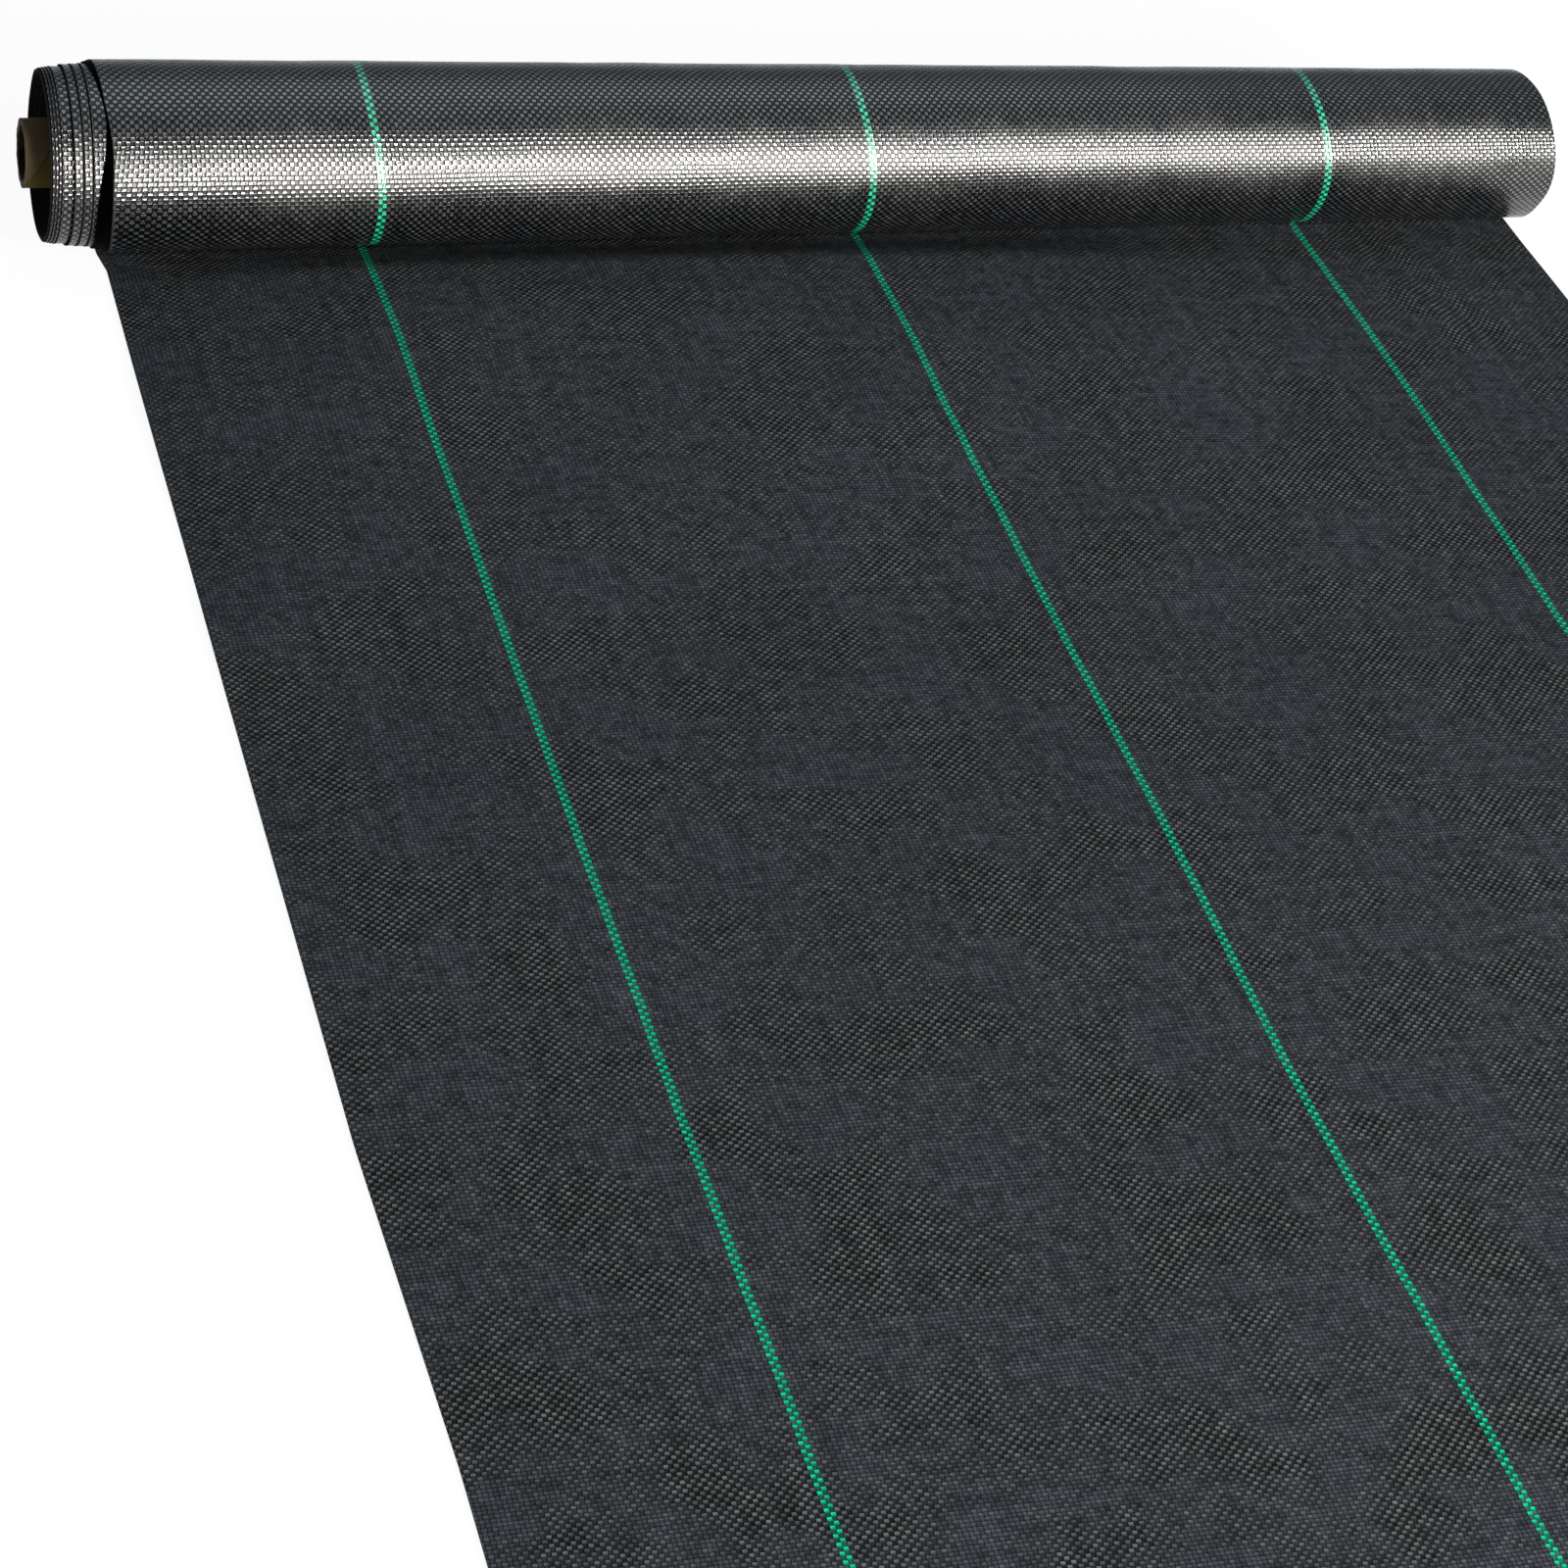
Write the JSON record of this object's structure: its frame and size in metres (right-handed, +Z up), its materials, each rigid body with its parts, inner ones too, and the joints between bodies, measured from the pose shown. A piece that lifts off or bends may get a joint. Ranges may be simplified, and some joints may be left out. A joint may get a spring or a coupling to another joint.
{
  "type": "geotextile roll",
  "caption": "Roll of black woven ground-cover geotextile with green marker lines on a cardboard core, partly unrolled flat on the ground.",
  "frame": {"origin": "on the ground at mid-width of the fabric, straight under the axis of the roll", "axes": "+X along the roll's axis, away from the end where the core sticks out; +Y from the laid fabric towards the roll, the way that the roll travels as it unrolls; +Z up"},
  "size_m": [0.9603, 1.2512, 0.1033],
  "materials": {
    "fabric_panel": "black woven polypropylene tape",
    "marker_tape": "green woven polypropylene tape",
    "wound_fabric": "tightly wound black woven tape fabric",
    "cardboard": "raw kraft cardboard",
    "ply_paper": "smooth kraft paper ply"
  },
  "bodies": {
    "laid_fabric": {"laid_left_margin": "fabric_panel", "laid_left_panel": "fabric_panel", "laid_right_panel": "fabric_panel", "laid_right_margin": "fabric_panel", "laid_marker_left": "marker_tape", "laid_marker_centre": "marker_tape", "laid_marker_right": "marker_tape"},
    "leaving_fabric": {"leaving_left_margin": "fabric_panel", "leaving_left_panel": "fabric_panel", "leaving_right_panel": "fabric_panel", "leaving_right_margin": "fabric_panel", "leaving_marker_left": "marker_tape", "leaving_marker_centre": "marker_tape", "leaving_marker_right": "marker_tape"},
    "outer_turns": {"turns_left_margin": "fabric_panel", "turns_left_panel": "fabric_panel", "turns_right_panel": "fabric_panel", "turns_right_margin": "fabric_panel", "turns_marker_left": "marker_tape", "turns_marker_centre": "marker_tape", "turns_marker_right": "marker_tape"},
    "tight_windings": {"windings_left_margin": "wound_fabric", "windings_left_panel": "wound_fabric", "windings_right_panel": "wound_fabric", "windings_right_margin": "wound_fabric", "windings_marker_left": "marker_tape", "windings_marker_centre": "marker_tape", "windings_marker_right": "marker_tape"},
    "core": {"core_tube": "cardboard", "core_outer_ply": "ply_paper"}
  },
  "joints": [
    {"name": "roll_travel", "type": "slide", "parent": "laid_fabric", "child": "leaving_fabric", "axis": [0, 1, 0], "range_m": [0, 0.1]},
    {"name": "roll_turn", "type": "hinge", "parent": "leaving_fabric", "child": "outer_turns", "pos_m": [0, 0, 0.0523], "axis": [1, 0, 0], "range_deg": [-112, 0]},
    {"name": "windings_creep", "type": "slide", "parent": "outer_turns", "child": "tight_windings", "axis": [-1, 0, 0], "range_m": [-0.0354, 0.06]},
    {"name": "core_slide", "type": "slide", "parent": "tight_windings", "child": "core", "axis": [-1, 0, 0], "range_m": [-0.0105, 0.25]}
  ],
  "couplings": [
    {"joint": "roll_turn", "follows": "roll_travel", "rad_per_m": -19.417}
  ]
}
